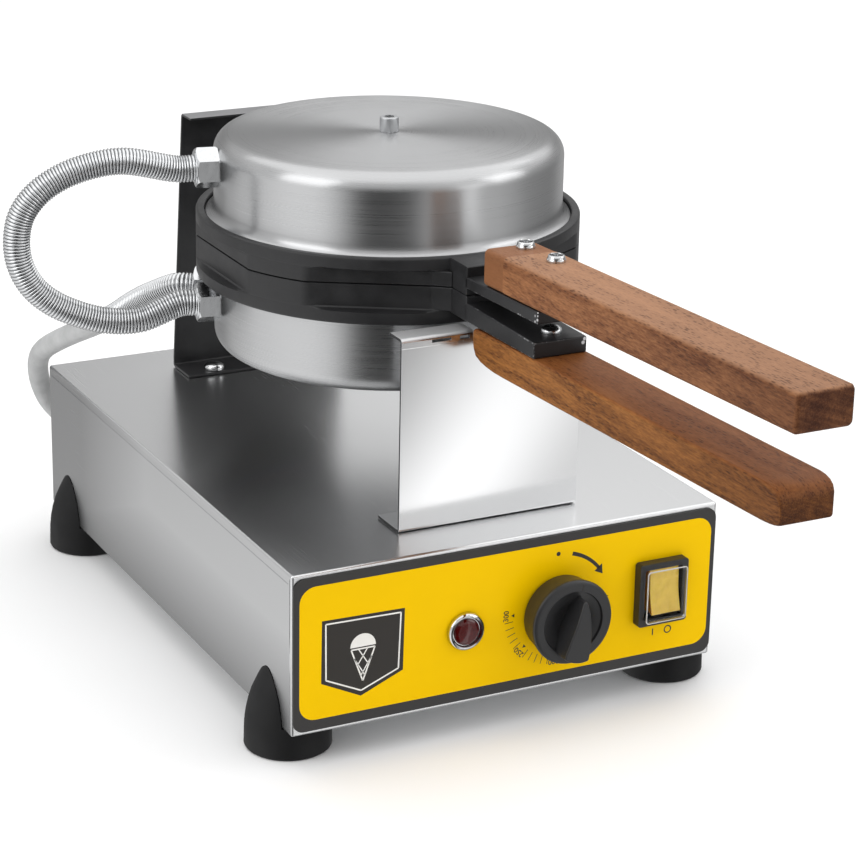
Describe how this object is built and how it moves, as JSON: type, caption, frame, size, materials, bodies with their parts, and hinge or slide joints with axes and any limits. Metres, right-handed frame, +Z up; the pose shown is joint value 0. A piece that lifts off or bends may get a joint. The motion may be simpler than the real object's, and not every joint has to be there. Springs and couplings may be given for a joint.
{
  "type": "waffle cone maker",
  "caption": "Counter-top waffle cone maker: steel base with dial, lamp and rocker, and a turn-over round baking head on a rear shaft with a hinged upper half and wooden handles.",
  "frame": {"origin": "on the surface that the feet stand on, under the middle of the bounding box of the machine with its handles and without its hoses", "axes": "+X to the right along the front panel, +Y away from the user, +Z up"},
  "size_m": [0.3428, 0.666, 0.2972],
  "materials": {
    "steel_sheet": "polished and lightly brushed stainless sheet",
    "spun_steel": "spun stainless pan with circular brushing",
    "cast_black": "satin black coated casting",
    "dark_sheet": "black coated sheet steel",
    "zinc": "bright zinc-plated steel",
    "rubber_black": "matt black moulded rubber",
    "label_yellow": "printed satin polyester label",
    "plastic_black": "black moulded plastic",
    "chrome_trim": "polished chrome",
    "lens_red": "clear dark red lens",
    "rocker_amber": "translucent amber plastic",
    "clear_cover": "clear soft plastic",
    "bronze": "sintered bronze",
    "wood_upper": "oiled steamed beech, pinkish brown",
    "wood_lower": "oiled steamed beech, warm brown",
    "insulation": "mineral wool felt",
    "element_sheath": "dull heater sheath",
    "ceramic_white": "glazed white ceramic",
    "hose_steel": "bright interlocked metal hose",
    "hose_sleeve": "pale grey smooth sleeve over metal hose",
    "reset_red": "red moulded plastic"
  },
  "bodies": {
    "base": {"base_cover": "steel_sheet", "base_bottom": "zinc", "foot_front_left": "rubber_black", "foot_front_right": "rubber_black", "foot_rear_left": "rubber_black", "foot_rear_right": "rubber_black", "panel_label": "label_yellow", "lamp_bezel": "chrome_trim", "lamp_lens": "lens_red", "lamp_body": "plastic_black", "switch_bezel": "plastic_black", "switch_cover": "clear_cover", "switch_body": "plastic_black", "thermostat_body": "zinc", "terminal_block": "ceramic_white", "cable_gland": "plastic_black", "cable_gland_nut": "plastic_black", "feed_gland": "zinc", "cutout_body": "plastic_black", "front_stand": "steel_sheet", "stand_screw_left": "zinc", "stand_screw_right": "zinc", "rear_bracket": "dark_sheet", "bracket_bolt_left": "zinc", "bracket_bolt_right": "zinc", "bearing_housing": "cast_black", "bearing_bush": "bronze", "housing_screw_left": "zinc", "housing_screw_right": "zinc", "feed_hose": "hose_sleeve"},
    "dial": {"dial_knob": "plastic_black", "dial_spindle": "zinc"},
    "rocker_switch": {"rocker": "rocker_amber"},
    "reset": {"reset_button": "reset_red"},
    "head_lower": {"lower_plate": "cast_black", "lower_dome": "spun_steel", "lower_dome_screw": "zinc", "lower_element": "element_sheath", "lower_element_cover": "zinc", "lower_insulation": "insulation", "thermostat_bulb": "zinc", "lower_hose_fitting": "zinc", "feed_hose_fitting": "zinc", "lower_handle": "wood_lower", "lower_handle_screw": "zinc", "flip_shaft": "zinc", "shaft_nut": "zinc", "hinge_pin": "zinc", "loop_hose": "hose_steel"},
    "head_upper": {"upper_plate": "cast_black", "upper_dome": "spun_steel", "upper_dome_screw": "zinc", "upper_element": "element_sheath", "upper_element_cover": "zinc", "upper_insulation": "insulation", "upper_hose_fitting": "zinc", "upper_handle": "wood_upper", "crown_nut_rear": "zinc", "crown_nut_front": "zinc"}
  },
  "joints": [
    {"name": "head_flip", "type": "hinge", "parent": "base", "child": "head_lower", "pos_m": [0, 0.125, 0.232], "axis": [0, -1, 0], "range_deg": [-180, 0], "deforming": ["feed_hose"]},
    {"name": "lid_open", "type": "hinge", "parent": "head_lower", "child": "head_upper", "pos_m": [0, 0.209, 0.232], "axis": [-1, 0, 0], "range_deg": [0, 76], "deforming": ["loop_hose"]},
    {"name": "dial_turn", "type": "hinge", "parent": "base", "child": "dial", "pos_m": [0.0284, -0.065, 0.0612], "axis": [0, 1, 0], "range_deg": [0, 270]},
    {"name": "rocker_tip", "type": "hinge", "parent": "base", "child": "rocker_switch", "pos_m": [0.0897, -0.0595, 0.0632], "axis": [1, 0, 0], "range_deg": [0, 16]},
    {"name": "reset_press", "type": "slide", "parent": "base", "child": "reset", "axis": [0, -1, 0], "range_m": [0, 0.0015], "stiffness_N_per_m": 300}
  ]
}
